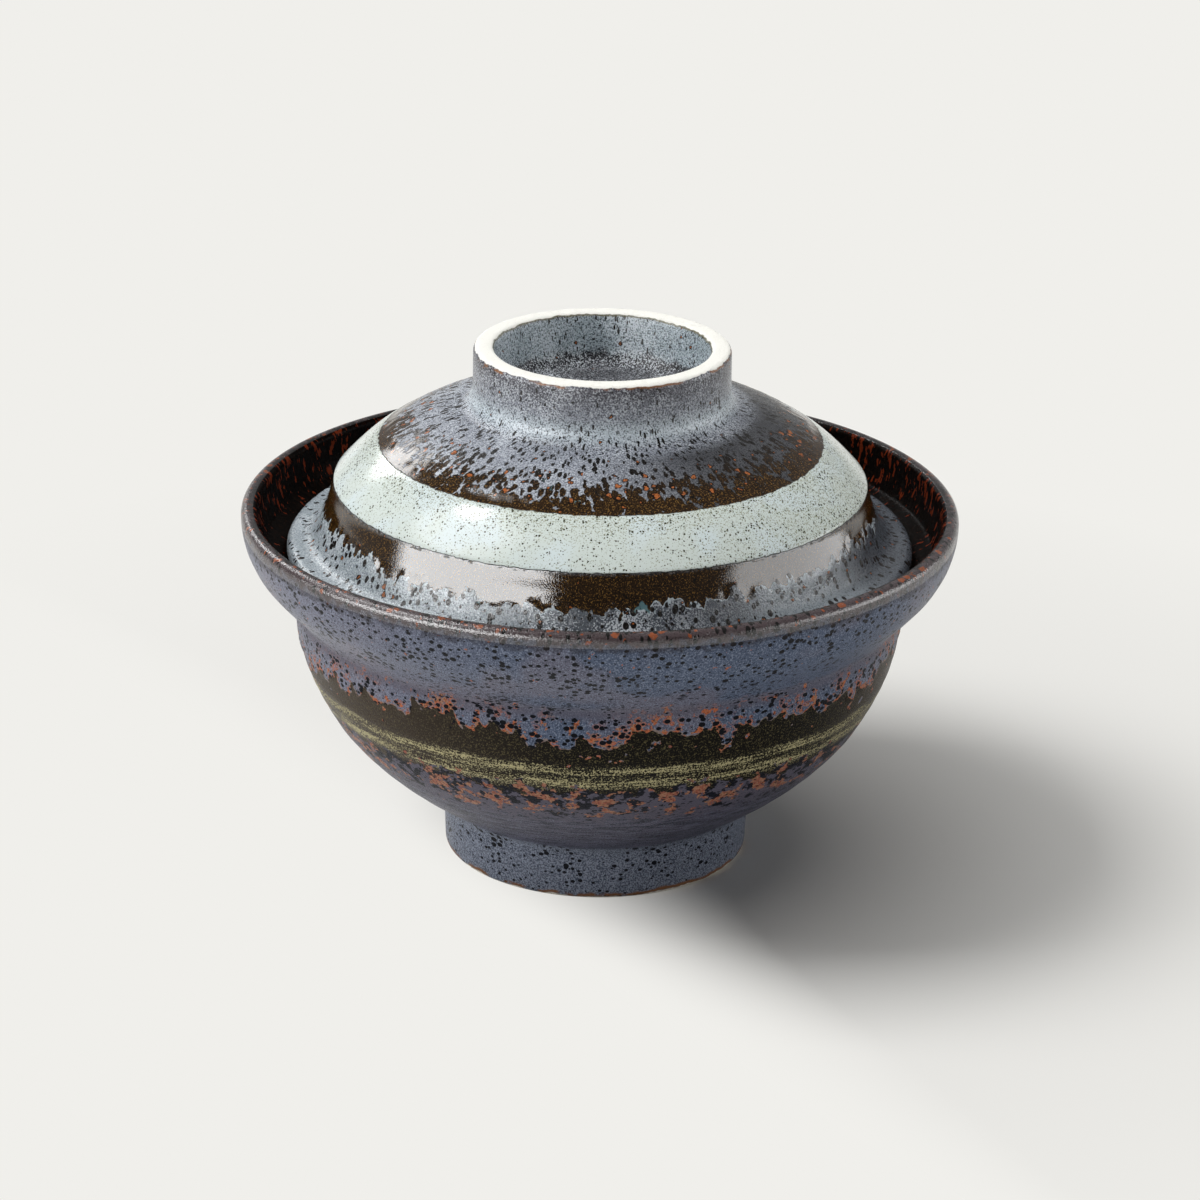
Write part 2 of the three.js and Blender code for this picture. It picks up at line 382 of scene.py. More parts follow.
# Places along the bowl's outside are lengths from the crease, up the collar or down the belly.
# Spots have a spacing, a smallest and a largest radius; where the smallest is below 0 some are left out.
bowlLook = {
    "wheelRadius": 70.0, "levelDraw": 2.8, "uprightDraw": 0.4, "speckFlat": 1.35, "laceDraw": 1.45,
    "coats": {"belly_glaze": 0.06, "collar_glaze": 0.16, "lip_glaze": 0.9}, "insideGloss": 0.02,
    "grain": 0.34, "sand": 0.36, "cloud": 19.0, "patch": 5.0, "fleck": 0.75,
    "specks": (1.5, 0.12, 0.74), "creaseDashes": (1.4, 0.15, 0.58), "laceDashes": (1.7, 0.0, 0.7),
    "lipDots": (1.9, -0.4, 0.65), "lipDashes": (1.05, 0.1, 0.6),
    # side ranges where the painted sheen at the bowl's left and right edges sets in
    "paleLeft": (0, -64), "paleRight": (48, 70),
    "dripMiddle": -4.4, "dripSway": 1.7, "dripTurns": 5, "dripLobes": 60, "dripShallow": 0.3,
    "dripDeep": 5.4, "dripSeed": 11, "dripStep": 0.26, "dripBead": 0.1,
    "ringPitch": 4.2, "ringDepth": 0.14,
    "wheelMark": 0.05, "markShare": 0.83, "markSeed": 5, "markTurns": 3, "markDrift": 60,
    "rustReach": 9.0, "rimWidth": 0.5, "islandReach": -6.0,
    "stripeTop": -13.6, "stripeFoot": -21.6, "laceTop": -21.4, "laceFoot": -34.0,
    "footTop": -58.5, "bareTop": -72.2, "bareFoot": -78.0,
    "lipStart": 23.9, "lipInner": 26.6, "lipEnd": 28.5, "lipSoft": 0.9, "insideRustEnd": 47.0,
    "slateRough": 0.36, "oliveRough": 0.34, "lipRough": 0.13, "clayRough": 0.85, "insideRough": 0.14,
    "grainHeight": 0.01, "sandHeight": 0.014, "slateStep": 0.12, "speckDepth": 0.09,
    "insideGrain": 0.006, "insideStreak": 0.015,
    "slate": (80, 92, 115), "lilac": (104, 102, 117), "paleSlate": (140, 149, 167),
    "slateShade": (46, 51, 64),
    "speck": (9, 11, 19), "rust": (174, 98, 66), "rustPale": (158, 116, 92), "ember": (76, 46, 36),
    # after tan, the painted sheen colours of the left and right edges: lilac-grey over the slate, brown
    # over the olive
    "tan": (142, 120, 104), "sheenLilac": (134, 130, 141), "sheenOlive": (88, 76, 64),
    "olive": (14, 11, 7), "oliveGrain": (98, 90, 62), "stripe": (180, 172, 132),
    "laceRust": (148, 88, 72), "laceNavy": (16, 18, 28), "laceGrey": (84, 81, 94),
    "low": (84, 82, 98), "lowShade": (38, 38, 50), "crease": (92, 86, 96),
    "lip": (72, 61, 63), "lipShade": (28, 21, 22), "lipDash": (8, 5, 4), "lipRust": (132, 68, 36),
    "foot": (138, 145, 160), "footShade": (66, 72, 86), "toast": (122, 84, 56), "bare": (232, 226, 212),
    "inside": (6, 3, 2), "insideRust": (104, 40, 18), "insideSheen": (18, 9, 5),
}


# collar's centre, the bend of its inside, and the angle and place where it meets the gallery:
# the angle's cosine is the gallery's distance from the centre over the bend
def galleryCorner():
    s = SimpleNamespace(**bowlShape)
    centre = np.array([s.rimRadius - s.collarBend, s.rimHeight - s.lipThickness / 2])
    bend = s.collarBend - s.lipThickness
    angle = -math.degrees(math.acos((s.rimRadius - s.galleryInset - centre[0]) / bend))
    return centre, bend, angle, reach(centre, bend, angle)


# foot, belly, collar, lip, gallery and floor, from the middle of the foot's hollow to that of the floor
def bowlProfile():
    s = SimpleNamespace(**bowlShape)
    collarCentre, insideBend, galleryAngle, gallery = galleryCorner()
    hollowTop = np.array([s.footRadius - s.footWidth, s.footHollow])
    innerEdge = np.array([hollowTop[0], 0])
    outerEdge = np.array([s.footRadius, 0])
    neck = np.array([s.footRadius + leanShift(s.footHeight, s.footLean), s.footHeight])
    hollowMiddle = np.array([0, s.footHollow])
    lipRound = s.lipThickness / 2
    collarFoot = reach(collarCentre, s.collarBend, -s.collarLean)
    creaseRadius = s.rimRadius - s.collarOverhang
    creaseDrop = (collarFoot[0] - creaseRadius) / math.tan(math.radians(s.collarLean))
    crease = np.array([creaseRadius, collarFoot[1] - creaseDrop])
    throatRadius = creaseRadius - s.bellyWall
    throatDrop = leanShift(gallery[0] - throatRadius, s.gallerySlope)
    throat = np.array([throatRadius, gallery[1] - throatDrop])
    bellyTop = crease - [0, s.bellyTopReach]
    rising = reach(neck, s.bellyRiseReach, s.bellyRise)
    neckBend = cornerRun(outerEdge, neck, rising, s.footNeckRound)
    bellyStart = reach(neckBend[-1], s.bellyRiseReach, s.bellyRise)
    creaseBend = cornerRun(bellyTop, crease, collarFoot, s.creaseRound)
    lipCentre = collarCentre + [s.collarBend - lipRound, 0]
    insideBow = arcRun(collarCentre, insideBend, 0, galleryAngle)
    bowTrim = 5  # points of the bow that the gallery's bend takes the place of
    galleryBend = cornerRun(insideBow[1 - bowTrim], gallery, throat, s.galleryCornerRound)
    insideTop = throat - [0, s.insideTopReach]
    throatBend = cornerRun(gallery, throat, insideTop, s.throatRound)
    floorMiddle = np.array([0, s.footHollow + s.floorThickness])
    floorReach = np.array([s.floorReach, floorMiddle[1]])
    hollowBend = cornerRun(hollowMiddle, hollowTop, innerEdge, s.footHollowRound)
    innerRound = cornerRun(hollowTop, innerEdge, outerEdge, s.footEdgeRound)
    outerRound = cornerRun(innerEdge, outerEdge, neck, s.footEdgeRound)
    return joinRuns({
        "hollow": straightRun(hollowMiddle, hollowBend[0]),
        "hollowBend": hollowBend,
        "hollowWall": straightRun(hollowBend[-1], innerRound[0]),
        "innerRound": innerRound,
        "footFlat": straightRun(innerRound[-1], outerRound[0]),
        "outerRound": outerRound,
        "footWall": straightRun(outerRound[-1], neckBend[0]),
        "neckBend": neckBend,
        "belly": bezierRun(neckBend[-1], bellyStart, bellyTop, creaseBend[0]),
        "crease": creaseBend,
        "collarFoot": straightRun(creaseBend[-1], collarFoot),
        "collar": arcRun(collarCentre, s.collarBend, -s.collarLean, 0),
        "lip": arcRun(lipCentre, lipRound, 0, 180),
        "insideBow": insideBow[:-bowTrim],
        "galleryBend": galleryBend,
        "gallery": straightRun(galleryBend[-1], throatBend[0]),
        "throatBend": throatBend,
        "well": bezierRun(throatBend[-1], insideTop, floorReach, floorMiddle),
    })


# relief of the bowl in millimetres, never outwards: wheel marks, the step and bead at the dripping
# glaze edge, and the grooves of the green stripes
def bowlRelief(angle, along, drip):
    k = SimpleNamespace(**bowlLook)
    drift = waveField(angle, along, k.markSeed, k.markTurns, k.markDrift)
    marks = 0.5 + 0.5 * np.cos(2 * math.pi * along / k.ringPitch * k.markShare + drift)
    outside = window(along, k.footTop, k.lipStart - 4, 3)
    below = 1 - ease(drip, -0.7, 0.5)
    bead = window(drip, 0, 1.6, 0.8)
    glazed = window(along, k.laceTop - 4, 6, 3)
    grooves = 0.5 + 0.5 * np.cos(2 * math.pi * (along - k.stripeTop) / k.ringPitch)
    striped = window(along, k.stripeFoot, k.stripeTop, 1.5)
    step = k.dripStep * below + k.dripBead * (1 - bead) * (1 - below)
    return -(k.wheelMark * marks * outside + glazed * step + k.ringDepth * grooves * striped)


# slate glaze that drips over an olive one, with stripes, torn lace, lower wall, foot and lip:
# each zone is a share of its place along the profile, and each speck or patch a share of its noise
def bowlOutsideGlaze(name, gloss):
    k = SimpleNamespace(**bowlLook)
    r = Recipe(name, bowlLook, gloss)
    place, wheel, side, along, drip = r.bearings()
    level = r.stretch(wheel, (1, 1, k.levelDraw))
    upright = r.stretch(wheel, (1, 1, k.uprightDraw))
    flattened = r.stretch(place, (1, 1, k.speckFlat))
    torn = r.stretch(wheel, (1, 1, k.laceDraw))
    grain = r.noise(place, k.grain, 1, 0.6)
    sand = r.noise(place, k.sand, 1, 0.6)
    cloud = r.noise(place, k.cloud)
    patch = r.noise(place, k.patch)

    # slate with lilac clouds and fine grain, and a painted sheen towards the left and right edges
    colour = r.blend(r.times(r.rise(cloud, 0, 2), 0.8), "slate", "lilac")
    # painted sheen: the glaze paler towards the bowl's left and right edges, as if glancing light shone
    # there
    paleLeft = r.times(r.rise(side, *k.paleLeft), 0.6)
    paintedSheenSides = r.larger(paleLeft, r.times(r.rise(side, *k.paleRight), 0.5))
    colour = r.blend(paintedSheenSides, colour, "sheenLilac")
    colour = r.blend(r.times(r.rise(grain, 0.2, 2), 0.7), colour, "paleSlate")
    colour = r.blend(r.times(r.rise(grain, -0.2, -2), 0.7), colour, "slateShade")
    colour = r.blend(r.times(r.between(along, -1.4, 1.6, 1.4), 0.6), colour, "crease")

    # torn lower edge of the slate, with a few islands that ran ahead of it
    ahead = r.lift(r.noise(place, 2.5), 1.2, -2.2)
    ahead = r.lift(r.rise(drip, k.islandReach + 2, k.islandReach - 2), -9, ahead)
    edge = r.total(drip, r.sway(place, 3.2, 0.55, 1), r.sway(place, 1.2, 0.14, 0))
    edge = r.larger(edge, ahead)
    glazed = r.rise(edge, -0.06, 0.06)

    # round dark specks, drawn out to dashes at the crease and larger near the torn edge
    nearEdge = r.rise(edge, k.rustReach, 0)
    crowd = r.sway(place, 8, 0.09)
    roundSpot = r.total(r.spots(flattened, *k.specks), crowd)
    largeSpot = r.lift(nearEdge, 0.17, roundSpot)
    dashSpot = r.total(r.spots(level, *k.creaseDashes), crowd)
    speckSpot = r.mix(r.between(along, -0.5, 6, 1.5), largeSpot, dashSpot)
    speck = r.rise(speckSpot, 0, 0.07)

    # rust patches that thicken towards the edge, rings of rust round some specks and a thin tan rim
    fleck = r.noise(place, k.fleck, 1)
    rustField = r.lift(nearEdge, 2.0, r.total(r.noise(place, 2.3, 3, 0.6), -2.6))
    rustRing = r.times(r.between(largeSpot, -0.32, 0.0, 0.08), nearEdge, r.rise(patch, 0.2, 0.6))
    rim = r.between(edge, 0.0, k.rimWidth, 0.1)
    rustRim = r.times(rim, r.rise(patch, 0.0, 0.6))
    rust = r.larger(r.rise(rustField, 0, 0.25), r.larger(rustRing, rustRim))
    rustTone = r.blend(r.rise(fleck, -0.4, 1.0), "rust", "rustPale")
    rustTone = r.blend(r.times(r.rise(grain, 0, -1.5), 0.75), rustTone, "ember")
    colour = r.blend(r.times(rim, 0.65), colour, "tan")
    colour = r.blend(rust, colour, rustTone)
    colour = r.blend(speck, colour, "speck")

    # dark olive glaze under the drips, with grain that brightens to the ring stripes
    waver = r.total(along, r.sway(wheel, 16, 0.3))
    turn = r.times(r.calc("SUBTRACT", waver, k.stripeTop - 1.7), 2 * math.pi / k.ringPitch)
    streak = r.noise(r.stretch(wheel, (0.25, 0.25, 3)), 2.2, 3)
    fineStreak = r.noise(r.stretch(wheel, (0.12, 0.12, 3)), 1.5, 1)
    ring = r.lift(r.calc("COSINE", turn), 0.75, r.times(fineStreak, 0.55))
    striped = r.between(waver, k.stripeFoot, k.stripeTop, 0.8)
    under = r.blend(r.times(r.rise(sand, 0.5, 2.0), 0.7), "olive", "oliveGrain")
    # painted sheen on the olive towards the left and right edges
    under = r.blend(r.times(paintedSheenSides, 0.8), under, "sheenOlive")
    under = r.blend(r.times(striped, r.rise(r.total(sand, ring), -0.5, 2.4)), under, "stripe")

    # torn lace of rust, grey and navy below the stripes, drawn out round the pot
    laceEdge = r.total(along, r.sway(torn, 3.2, 1.3, 3))
    dashes = r.rise(r.spots(level, *k.laceDashes), 0, 0.12)
    rustLace = r.lift(r.rise(laceEdge, k.laceFoot + 5, k.laceFoot), -2.5,
                      r.total(r.noise(torn, 4.6, 3, 0.6), r.times(fleck, 0.25)))
    lowered = r.rise(laceEdge, k.laceTop, k.laceFoot)
    greyLace = r.lift(lowered, 1.8, r.noise(torn, 3.4, 3, 0.6))
    lace = r.blend(r.rise(greyLace, 0.4, 0.6), "laceNavy", "laceGrey")
    laceTone = r.blend(r.rise(fleck, -0.6, 0.8), "laceRust", "rustPale")
    laceTone = r.blend(r.times(r.rise(grain, 0, -1.5), 0.6), laceTone, "ember")
    lace = r.blend(r.rise(rustLace, 0.6, 0.75), lace, laceTone)
    lace = r.blend(dashes, lace, "laceNavy")
    under = r.blend(r.rise(laceEdge, k.laceTop + 0.3, k.laceTop - 0.3), under, lace)

    # purple-grey lower wall with level streaks
    low = r.blend(r.rise(streak, -1.2, 0.8), "lowShade", "low")
    low = r.blend(r.times(r.rise(grain, 0.2, 2), 0.35), low, "paleSlate")
    low = r.blend(r.times(dashes, r.rise(streak, 0.6, -0.4)), low, "lowShade")
    under = r.blend(r.rise(laceEdge, k.laceFoot + 1.2, k.laceFoot - 1.2), under, low)

    # frosted foot with a few large specks, most of them high up
    foot = r.blend(r.rise(grain, -1.7, 1.7), "footShade", "foot")
    footSpot = r.lift(r.rise(along, k.footTop - 4, k.bareTop), -0.22, roundSpot)
    foot = r.blend(r.rise(footSpot, 0, 0.07), foot, "speck")
    under = r.blend(r.rise(along, k.footTop + 1.6, k.footTop - 1.6), under, foot)
    colour = r.blend(glazed, under, colour)

    # grey-brown lip with dark dashes across it and rust dots along its inner edge
    lipEdge = r.total(along, r.sway(place, 2.2, 0.4))
    lip = r.rise(lipEdge, k.lipStart - k.lipSoft, k.lipStart + k.lipSoft)
    innerLip = r.rise(along, k.lipInner - 1.4, k.lipInner)
    lipDots = r.lift(innerLip, 0.45, r.spots(place, *k.lipDots))
    lipTone = r.blend(r.times(r.rise(grain, 0.2, -2), 0.6), "lip", "lipShade")
    lipTone = r.blend(r.rise(r.total(lipDots, r.sway(place, 0.9, 0.12)), 0, 0.12), lipTone, "lipRust")
    lipTone = r.blend(r.rise(r.spots(upright, *k.lipDashes), 0, 0.08), lipTone, "lipDash")
    lipTone = r.blend(r.rise(lipEdge, k.lipEnd - 1.5, k.lipEnd), lipTone, "inside")
    underLip = r.times(r.between(lipEdge, k.lipStart - 1.4, k.lipStart, 0.7), 0.55)
    colour = r.blend(underLip, colour, "lipShade")
    colour = r.blend(lip, colour, lipTone)

    # toasted line and bare clay where the foot was wiped clean
    wiped = r.total(along, r.sway(place, 4, 0.15))
    toastLine = r.times(r.between(wiped, k.bareTop, k.bareTop + 0.8, 0.3), r.rise(patch, -1, 0.5))
    colour = r.blend(toastLine, colour, "toast")
    clay = r.blend(r.times(r.rise(grain, 0, 2), 0.4), "bare", "toast")
    isBare = r.between(wiped, k.bareFoot, k.bareTop, 0.15)
    colour = r.blend(isBare, colour, clay)

    satin = r.lift(grain, 0.05, k.slateRough)
    roughness = r.mix(glazed, r.lift(sand, 0.06, k.oliveRough), satin)
    roughness = r.mix(lip, roughness, k.lipRough)
    roughness = r.mix(isBare, roughness, k.clayRough)
    slateHeight = r.lift(grain, k.grainHeight, r.lift(speck, -k.speckDepth, k.slateStep))
    height = r.mix(glazed, r.times(sand, k.sandHeight), slateHeight)
    return r.finish(colour, roughness, height)


# near-black glaze inside, with rust streaks that ran down from the lip
def insideGlaze():
    k = SimpleNamespace(**bowlLook)
    r = Recipe("brown_black_inside_glaze", bowlLook, k.insideGloss)
    place = r.place()
    wheel = r.attribute("wheel")["Vector"]
    along = r.node("SeparateXYZ", {"Vector": wheel}).outputs["Z"]
    streak = r.noise(r.stretch(wheel, (1, 1, k.uprightDraw)), 1.3, 3, 0.6)
    grain = r.noise(place, k.grain, 2, 0.6)
    nearLip = r.rise(along, k.insideRustEnd, k.lipEnd + 2)
    colour = r.blend(r.rise(r.noise(place, 1.1, 3, 0.6), 0, 1.2), "inside", "insideSheen")
    share = r.lift(nearLip, 1.7, r.total(streak, -2.4))
    colour = r.blend(r.rise(share, 0, 0.5), colour, "insideRust")
    roughness = r.lift(grain, 0.02, k.insideRough)
    height = r.lift(grain, k.insideGrain, r.times(streak, k.insideStreak))
    return r.finish(colour, roughness, height)


# bowl: its profile turned, with a coat for each place along it and the dark glaze inside
def throwBowl(inside):
    k = SimpleNamespace(**bowlLook)
    rows, normals, angle, along, attributes = turnProfile(bowlShape, bowlLook, bowlProfile(), "crease", -1)
    relief = bowlRelief(angle, along, attributes["drip"])
    coats = np.searchsorted([0, k.lipStart - k.lipSoft, k.lipEnd], along[:, 0])
    materials = [bowlOutsideGlaze(name, gloss) for name, gloss in k.coats.items()] + [inside]
    bowl = throwPot("bowl_thrown", rows, normals, relief, angle, attributes, materials, coats)
    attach(bowl, "bowl")
    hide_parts("bowl")


# Lid: flange and seat, skirt, ridge, dome and ring knob with its hollow
lidShape = {
    "flangePlay": 4.4, "seatClearance": 0.3, "flangeNose": 2.2, "flangeWidth": 10.4, "seatWidth": 2.6,
    "seatEdgeRound": 1.1, "skirtHeight": 16.0, "skirtLean": 14.0, "skirtFlareReach": 4.5,
    "skirtDropReach": 12.0, "lidWall": 4.0, "ridgeRound": 1.2,
    "domeRise": 17.4, "domeBend": 56.0, "underDomeReach": 30.0, "underShoulderReach": 11.0,
    "underShoulderLean": 45.0, "underShoulderRound": 5.0,
    "knobRadius": 28.8, "knobHeight": 13.3, "knobWidth": 4.5, "knobLean": 0.6, "knobEdgeRound": 1.3,
    "knobNeckRound": 4.0, "knobHollow": 11.5, "knobHollowLean": 9.0, "knobHollowRound": 4.0,
    "rows": 190, "columns": 512, "denseFrom": -24.0, "denseTo": 1000.0, "denseSoft": 4.0,
    "plainRows": 0.3, "denseRows": 1.0, "bendRows": 1.6,
}

# Places on the lid's outside are lengths from the ridge, up the dome or down the skirt.
lidLook = {
    "wheelRadius": 50.0, "runDraw": 0.64, "grain": 0.36, "sand": 0.34, "cloud": 13.0,
    "coats": {"skirt_glaze": 0.8, "dome_glaze": 0.38},
    "pits": (1.5, 0.12, 0.64), "lobePits": (1.2, 0.05, 0.6), "dots": (2.0, -0.25, 0.7),
    "bandSpecks": (0.58, -0.1, 0.27), "pools": (11, -1.2, 2.2),
    # side ranges of the painted shade on the dome and of the painted reflection on the frost at left and
    # right
    "shadeReach": (-12, 32), "frostLeft": (-2, -24), "frostRight": (26, 43), "frostSoft": 5.0,
    "dripMiddle": -8.4, "dripSway": 0.8, "dripTurns": 6, "dripLobes": 92, "dripShallow": 0.2,
    "dripDeep": 3.4, "dripSeed": 23, "dripStep": 0.3, "brownStep": 0.12,
    "lumpDepth": 0.1, "lumpSeed": 31, "lumpTurns": 90, "lumpPitch": 5.5, "lumpWaves": 40,
    "bandTop": 13.9, "brownTop": 16.6, "dotTop": 27.0, "domeTop": 33.0, "neckTop": 41.0,
    "knobTop": 48.6, "ringInner": 52.9, "hollowFoot": 62.0, "flangeEdge": -14.0, "underStart": -24.0,
    "domeRough": 0.28, "skirtRough": 0.19, "brownRough": 0.08, "bandRough": 0.12, "clayRough": 0.8,
    "grainHeight": 0.012, "sandHeight": 0.002, "pitDepth": 0.14, "brownDepth": 0.16, "bandHeight": 0.02,
    "ridgeSoft": 0.5, "ridgeReach": (-5.5, -0.3),
    # the pale grain here is partly a painted sparkle of the lamps
    "slate": (140, 145, 155), "grainDark": (18, 19, 24), "paleGrainAndSparkle": (226, 232, 238), "pit": (13, 9, 6),
    # lilac up the knob; pale at the neck from pooled glaze with a painted highlight; then the painted
    # shade on one side of the dome
    "lilac": (68, 64, 72), "neckPoolAndHighlight": (194, 206, 214), "paintedShadeSide": (33, 32, 33),
    "brown": (42, 27, 11), "gold": (124, 92, 46), "brownDark": (10, 6, 2), "rust": (164, 93, 46),
    "band": (203, 212, 207), "bandBlue": (208, 220, 223), "bandSpeck": (56, 56, 38),
    "bandOlive": (124, 126, 94),
    # frost: its dark tone, then the pale tone used for the lobes' rim and for the painted reflection at
    # left and right
    "frost": (84, 90, 98), "frostRimAndSheen": (188, 200, 207), "pool": (104, 146, 154),
    # the hollow's tones: painted light on its wall, painted shade on its floor and at the foot of the wall
    "hollowWall": (166, 179, 186), "hollowFloor": (84, 85, 89), "hollowShade": (40, 41, 44),
    "ring": (237, 236, 229), "toast": (124, 80, 44), "oliveLine": (112, 108, 76),
}


# underside, seat, flange, skirt, ridge, dome and knob, from the middle below to that of the knob's hollow
def lidProfile():
    s = SimpleNamespace(**lidShape)
    b = SimpleNamespace(**bowlShape)
    galleryRadius, galleryHeight = galleryCorner()[-1]
    flangeRadius = galleryRadius - s.flangePlay
    noseRadius = flangeRadius - s.flangeNose
    standoff = (s.flangeNose + s.seatClearance) / math.cos(math.radians(b.gallerySlope))
    restHeight = galleryHeight - leanShift(galleryRadius - noseRadius, b.gallerySlope) + standoff
    noseCentre = np.array([noseRadius, restHeight])
    seatOuter = reach(noseCentre, s.flangeNose, b.gallerySlope - 90)
    seatInner = reach(seatOuter, -s.seatWidth, b.gallerySlope)
    ridge = np.array([flangeRadius - s.flangeWidth, restHeight + s.skirtHeight])
    neck = np.array([s.knobRadius, ridge[1] + s.domeRise])
    topHeight = neck[1] + s.knobHeight
    hollowFloor = topHeight - s.knobHollow
    underTop = np.array([0, hollowFloor - s.lidWall])
    shoulder = ridge - [s.lidWall, s.lidWall / 2]
    domeSide = reach(shoulder, s.underShoulderReach, 90 + s.underShoulderLean)
    skirtSide = reach(shoulder, s.skirtDropReach, s.skirtLean - 90)
    shoulderBend = cornerRun(domeSide, shoulder, skirtSide, s.underShoulderRound)
    seatApproach = reach(seatInner, s.skirtFlareReach, 180 - b.gallerySlope)
    seatEdge = cornerRun(seatApproach, seatInner, seatOuter, s.seatEdgeRound)
    flangeTop = noseCentre + [0, s.flangeNose]
    skirtLeave = flangeTop - [s.skirtFlareReach, 0]
    skirt = bezierRun(flangeTop, skirtLeave, reach(ridge, s.skirtDropReach, s.skirtLean - 90), ridge)
    dome = bowRun(ridge, neck, s.domeBend)
    skirtTrim, domeTrim, neckTrim, neckGap = -6, 6, -22, 0.4  # points and gap where a bend takes over
    ridgeBend = cornerRun(skirt[skirtTrim], ridge, dome[domeTrim], s.ridgeRound)
    outerEdge = np.array([neck[0] - leanShift(s.knobHeight, s.knobLean), topHeight])
    innerEdge = outerEdge - [s.knobWidth, 0]
    hollowFoot = np.array([innerEdge[0] - leanShift(s.knobHollow, s.knobHollowLean), hollowFloor])
    hollowMiddle = np.array([0, hollowFloor])
    neckBend = cornerRun(dome[neckTrim], neck, outerEdge, s.knobNeckRound)
    outerRound = cornerRun(neck, outerEdge, innerEdge, s.knobEdgeRound)
    innerRound = cornerRun(outerEdge, innerEdge, hollowFoot, s.knobEdgeRound)
    hollowBend = cornerRun(innerEdge, hollowFoot, hollowMiddle, s.knobHollowRound)
    domeShown = dome[domeTrim:]
    beforeNeck = domeShown[:, 0] > neckBend[0, 0] + neckGap
    return joinRuns({
        "under": bezierRun(underTop, [s.underDomeReach, underTop[1]], domeSide, shoulderBend[0]),
        "underShoulder": shoulderBend,
        "underSkirt": bezierRun(shoulderBend[-1], skirtSide, seatApproach, seatEdge[0]),
        "seatEdge": seatEdge,
        "nose": arcRun(noseCentre, s.flangeNose, b.gallerySlope - 90, 90),
        "skirt": skirt[:skirtTrim],
        "ridge": ridgeBend,
        "dome": domeShown[beforeNeck],
        "neck": neckBend,
        "knobRound": outerRound,
        "knobRing": straightRun(outerRound[-1], innerRound[0]),
        "hollowRound": innerRound,
        "hollowBend": hollowBend,
        "hollow": straightRun(hollowBend[-1], hollowMiddle),
    })


# relief of the lid in millimetres, never outwards: the brown runs lie lower than the frosted lobes and
# the pale band, and the dome's glaze is lumpy
def lidRelief(angle, along, drip):
    k = SimpleNamespace(**lidLook)
    above = ease(drip, -0.4, 0.9)
    skirted = ease(along, k.flangeEdge - 1, k.flangeEdge + 1) * (1 - ease(along, 0, k.bandTop))
    lumpField = waveField(angle, along, k.lumpSeed, k.lumpTurns, k.lumpPitch, k.lumpWaves)
    lumps = np.clip(0.5 + 0.25 * lumpField, 0, 1)
    domed = window(along, k.bandTop + 1, k.domeTop, 1.5)
    brown = window(along, k.bandTop, k.brownTop, 0.7)
    return -(k.dripStep * above * skirted + k.lumpDepth * lumps * domed + k.brownStep * brown)


